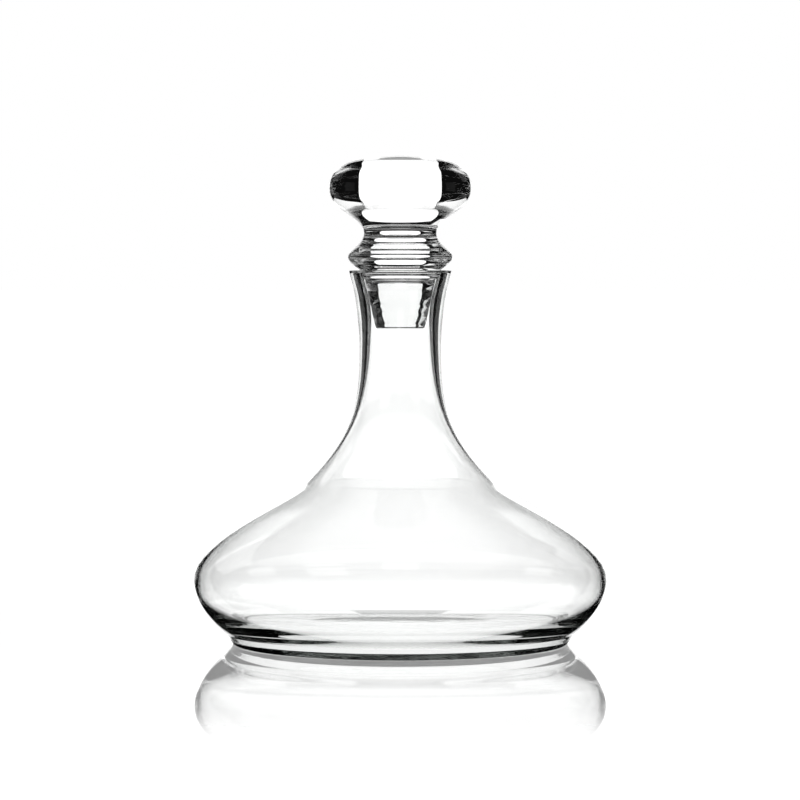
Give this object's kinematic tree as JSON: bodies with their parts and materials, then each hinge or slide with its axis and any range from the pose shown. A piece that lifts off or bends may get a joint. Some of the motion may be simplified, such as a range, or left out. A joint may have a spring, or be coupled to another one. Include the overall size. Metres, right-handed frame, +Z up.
{
  "type": "stoppered glass decanter",
  "caption": "Clear glass ship's decanter: low wide belly on a flat foot, slender flared neck, and a solid glass stopper that lifts out.",
  "frame": {"origin": "centre of the circle that the foot rests on, at table level", "axes": "+Z up along the axis of the vessel and stopper; the part is round, so +X and +Y are free"},
  "size_m": [0.203, 0.203, 0.24],
  "materials": {
    "vessel_glass": "clear blown soda-lime glass, fire-polished",
    "stopper_glass": "clear solid glass, polished, with a finely ground plug"
  },
  "bodies": {
    "vessel": {"vessel": "vessel_glass"},
    "stopper": {"stopper": "stopper_glass"}
  },
  "joints": [
    {"name": "stopper_lift", "type": "slide", "parent": "vessel", "child": "stopper", "axis": [0, 0, 1], "range_m": [0, 0.06]}
  ]
}
